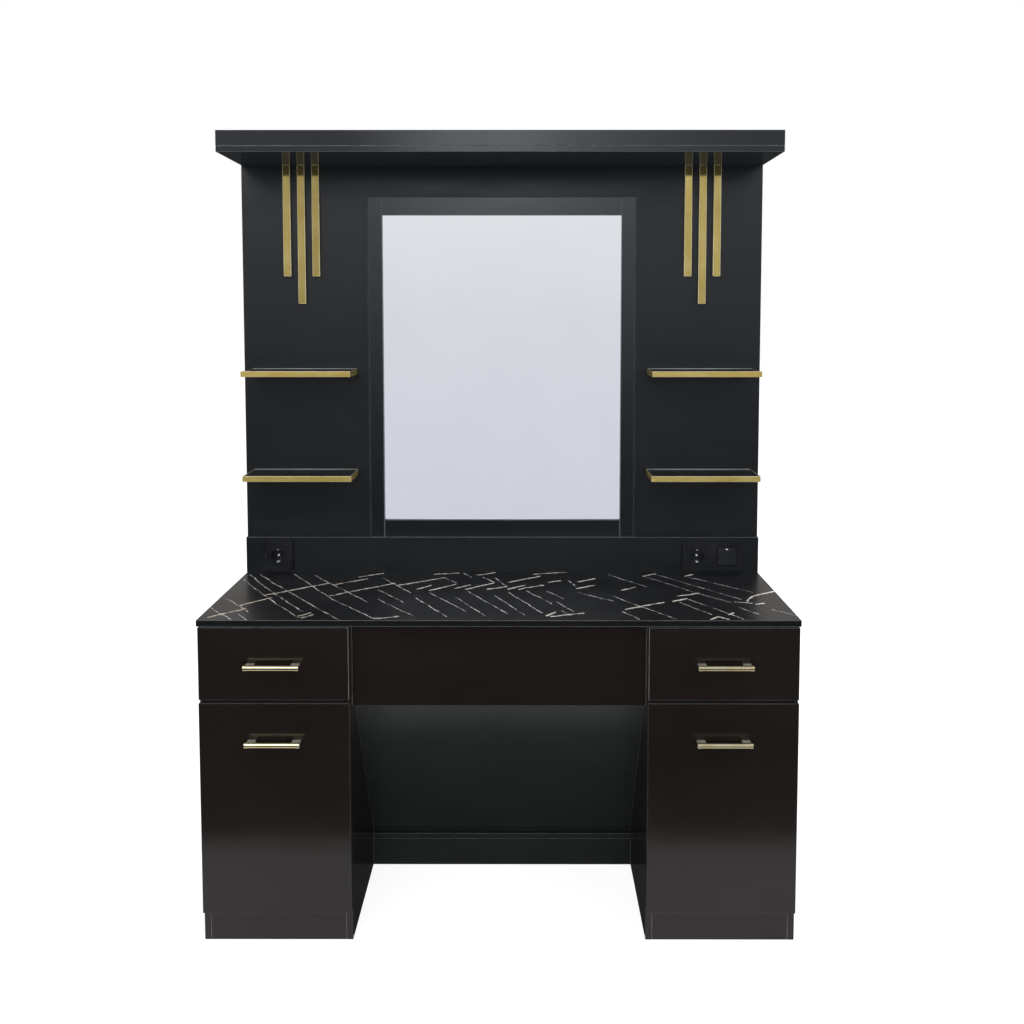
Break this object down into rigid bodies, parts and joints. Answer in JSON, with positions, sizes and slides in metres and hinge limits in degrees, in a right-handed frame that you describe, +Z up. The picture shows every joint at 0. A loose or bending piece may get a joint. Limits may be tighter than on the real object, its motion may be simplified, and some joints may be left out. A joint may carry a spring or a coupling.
{
  "type": "salon styling station",
  "caption": "Wall-standing salon station: pedestal cabinets with drawers and doors under a marble-look worktop, framed mirror, shelves, gold strips and pelmet.",
  "frame": {"origin": "floor level, centre of the overall footprint", "axes": "+Z up, +Y towards the wall, +X to the right of a person facing the mirror"},
  "size_m": [1.5, 0.532, 2.075],
  "materials": {
    "marble_laminate": "satin black marble pattern",
    "black_laminate": "gloss black",
    "brown_black_laminate": "gloss brown black",
    "inside_laminate": "satin black",
    "raw_wood": "sawn",
    "gold_trim": "polished gold",
    "gold_handle": "polished champagne gold",
    "mirror_glass": "silvered",
    "zinc_steel": "zinc plated",
    "black_plastic": "gloss black",
    "box_plastic": "matte"
  },
  "bodies": {
    "root": {"worktop": "marble_laminate", "upstand": "black_laminate", "back_panel": "black_laminate", "wall_battens": "raw_wood", "pelmet_bottom": "black_laminate", "pelmet_fascia": "black_laminate", "pelmet_top": "black_laminate", "pelmet_ends": "black_laminate", "pelmet_rear_rail": "black_laminate", "gold_strips_left": "gold_trim", "gold_strips_right": "gold_trim", "mirror_glass": "mirror_glass", "mirror_backing": "black_laminate", "frame_stiles": "black_laminate", "frame_rail_top": "black_laminate", "frame_rail_bottom": "black_laminate", "wall_shelves_left": "black_laminate", "wall_shelves_right": "black_laminate", "shelf_trims_left": "gold_trim", "shelf_trims_right": "gold_trim", "shelf_pins": "zinc_steel", "side_outer_left": "brown_black_laminate", "side_inner_left": "brown_black_laminate", "side_inner_right": "brown_black_laminate", "side_outer_right": "brown_black_laminate", "cabinet_floors": "inside_laminate", "cabinet_dividers": "inside_laminate", "top_rails": "inside_laminate", "cabinet_plinths": "brown_black_laminate", "inner_shelves": "inside_laminate", "shelf_studs": "zinc_steel", "apron": "brown_black_laminate", "knee_panel": "black_laminate", "knee_floor": "black_laminate", "knee_plinth": "black_laminate", "slide_outers": "zinc_steel", "hinge_arms": "zinc_steel", "outlet_boxes": "box_plastic", "wall_plates": "black_plastic", "socket_inserts": "black_plastic", "socket_contacts": "zinc_steel", "switch_module": "black_plastic"},
    "switch_rocker": {"switch_rocker": "black_plastic"},
    "drawer_left": {"drawer_front_left": "brown_black_laminate", "drawer_box_left": "inside_laminate", "slide_inners_left": "zinc_steel", "handle_drawer_left": "gold_handle"},
    "slide_middle_left": {"slide_middles_left": "zinc_steel"},
    "door_left": {"door_left": "brown_black_laminate", "hinge_cups_left": "zinc_steel", "handle_door_left": "gold_handle"},
    "drawer_right": {"drawer_front_right": "brown_black_laminate", "drawer_box_right": "inside_laminate", "slide_inners_right": "zinc_steel", "handle_drawer_right": "gold_handle"},
    "slide_middle_right": {"slide_middles_right": "zinc_steel"},
    "door_right": {"door_right": "brown_black_laminate", "hinge_cups_right": "zinc_steel", "handle_door_right": "gold_handle"}
  },
  "joints": [
    {"name": "drawer_left_slide", "type": "slide", "parent": "root", "child": "drawer_left", "axis": [0, -1, 0], "range_m": [0, 0.35]},
    {"name": "slide_middle_left_slide", "type": "slide", "parent": "root", "child": "slide_middle_left", "axis": [0, -1, 0], "range_m": [0, 0.175]},
    {"name": "drawer_right_slide", "type": "slide", "parent": "root", "child": "drawer_right", "axis": [0, -1, 0], "range_m": [0, 0.35]},
    {"name": "slide_middle_right_slide", "type": "slide", "parent": "root", "child": "slide_middle_right", "axis": [0, -1, 0], "range_m": [0, 0.175]},
    {"name": "door_left_hinge", "type": "hinge", "parent": "root", "child": "door_left", "pos_m": [-0.741, -0.226, 0.352], "axis": [0, 0, -1], "range_deg": [0, 95]},
    {"name": "door_right_hinge", "type": "hinge", "parent": "root", "child": "door_right", "pos_m": [0.741, -0.226, 0.352], "axis": [0, 0, 1], "range_deg": [0, 95]},
    {"name": "switch_rocker_tilt", "type": "hinge", "parent": "root", "child": "switch_rocker", "pos_m": [0.656, 0.21, 0.886], "axis": [1, 0, 0], "range_deg": [0, 8]}
  ],
  "couplings": [
    {"joint": "slide_middle_left_slide", "follows": "drawer_left_slide", "ratio": 0.5},
    {"joint": "slide_middle_right_slide", "follows": "drawer_right_slide", "ratio": 0.5}
  ]
}
